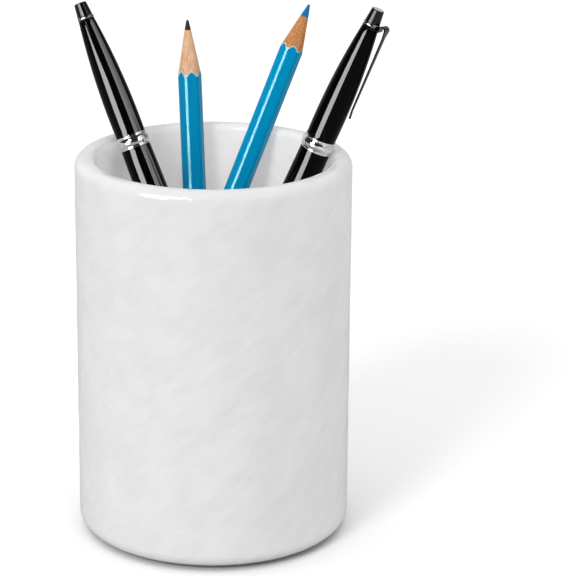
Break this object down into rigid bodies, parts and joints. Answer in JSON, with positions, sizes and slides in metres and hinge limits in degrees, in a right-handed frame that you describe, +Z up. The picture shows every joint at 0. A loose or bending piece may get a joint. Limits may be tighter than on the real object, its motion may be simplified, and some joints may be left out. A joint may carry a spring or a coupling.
{
  "type": "pen cup",
  "caption": "Round white glazed ceramic pen cup on a soft base pad, holding black twist pens with chrome trim and sharpened blue hexagonal pencils that lift out.",
  "frame": {"origin": "middle of the base pad's underside, where the cup stands on the desk", "axes": "+Z up along the cup's axis, -Y towards the viewer of the picture, +X to the viewer's right"},
  "size_m": [0.0908, 0.08, 0.1567],
  "materials": {
    "glazed_white": "gloss",
    "pad_black": "matte",
    "black_lacquer": "gloss",
    "chrome": "polished",
    "dark_chrome": "polished",
    "brass": "satin",
    "refill_steel": "satin",
    "carrier_plastic": "satin",
    "cedar": "matte",
    "blue_lacquer": "gloss",
    "graphite": "satin",
    "blue_core": "matte"
  },
  "bodies": {
    "cup": {"cup_body": "glazed_white", "base_pad": "pad_black"},
    "left_pen_lower_half": {"left_pen_lower_barrel": "black_lacquer", "left_pen_nose_cone": "chrome", "left_pen_centre_band": "chrome", "left_pen_twist_sleeve": "brass"},
    "left_pen_upper_half": {"left_pen_upper_barrel": "black_lacquer", "left_pen_clip": "dark_chrome", "left_pen_finial_ring": "dark_chrome", "left_pen_finial": "dark_chrome", "left_pen_twist_cam": "brass"},
    "left_pen_ink": {"left_pen_refill": "refill_steel", "left_pen_refill_carrier": "carrier_plastic"},
    "right_pen_lower_half": {"right_pen_lower_barrel": "black_lacquer", "right_pen_nose_cone": "chrome", "right_pen_centre_band": "chrome", "right_pen_twist_sleeve": "brass"},
    "right_pen_upper_half": {"right_pen_upper_barrel": "black_lacquer", "right_pen_clip": "dark_chrome", "right_pen_finial_ring": "dark_chrome", "right_pen_finial": "dark_chrome", "right_pen_twist_cam": "brass"},
    "right_pen_ink": {"right_pen_refill": "refill_steel", "right_pen_refill_carrier": "carrier_plastic"},
    "left_pencil": {"left_pencil_casing": "cedar", "left_pencil_lacquer": "blue_lacquer", "left_pencil_core": "graphite"},
    "right_pencil": {"right_pencil_casing": "cedar", "right_pencil_lacquer": "blue_lacquer", "right_pencil_core": "blue_core"}
  },
  "joints": [
    {"name": "left_pen_lift", "type": "slide", "parent": "cup", "child": "left_pen_lower_half", "axis": [-0.3603, 0.2701, 0.8929], "range_m": [0, 0.13]},
    {"name": "left_pen_twist", "type": "hinge", "parent": "left_pen_lower_half", "child": "left_pen_upper_half", "pos_m": [0.01675, -0.01332, 0.01283], "axis": [-0.3603, 0.2701, 0.8929], "range_deg": [0, 180]},
    {"name": "left_pen_retract", "type": "slide", "parent": "left_pen_lower_half", "child": "left_pen_ink", "axis": [-0.3603, 0.2701, 0.8929], "range_m": [0, 0.005]},
    {"name": "right_pen_lift", "type": "slide", "parent": "cup", "child": "right_pen_lower_half", "axis": [0.3765, -0.0781, 0.9231], "range_m": [0, 0.13]},
    {"name": "right_pen_twist", "type": "hinge", "parent": "right_pen_lower_half", "child": "right_pen_upper_half", "pos_m": [-0.01187, 0.01203, 0.01282], "axis": [0.3765, -0.0781, 0.9231], "range_deg": [0, 180]},
    {"name": "right_pen_retract", "type": "slide", "parent": "right_pen_lower_half", "child": "right_pen_ink", "axis": [0.3765, -0.0781, 0.9231], "range_m": [0, 0.005]},
    {"name": "left_pencil_lift", "type": "slide", "parent": "cup", "child": "left_pencil", "axis": [-0.0391, 0.0664, 0.997], "range_m": [0, 0.115]},
    {"name": "right_pencil_lift", "type": "slide", "parent": "cup", "child": "right_pencil", "axis": [0.3663, 0.2198, 0.9042], "range_m": [0, 0.125]}
  ],
  "couplings": [
    {"joint": "left_pen_twist", "follows": "left_pen_retract", "rad_per_m": 628.3},
    {"joint": "right_pen_twist", "follows": "right_pen_retract", "rad_per_m": 628.3}
  ]
}
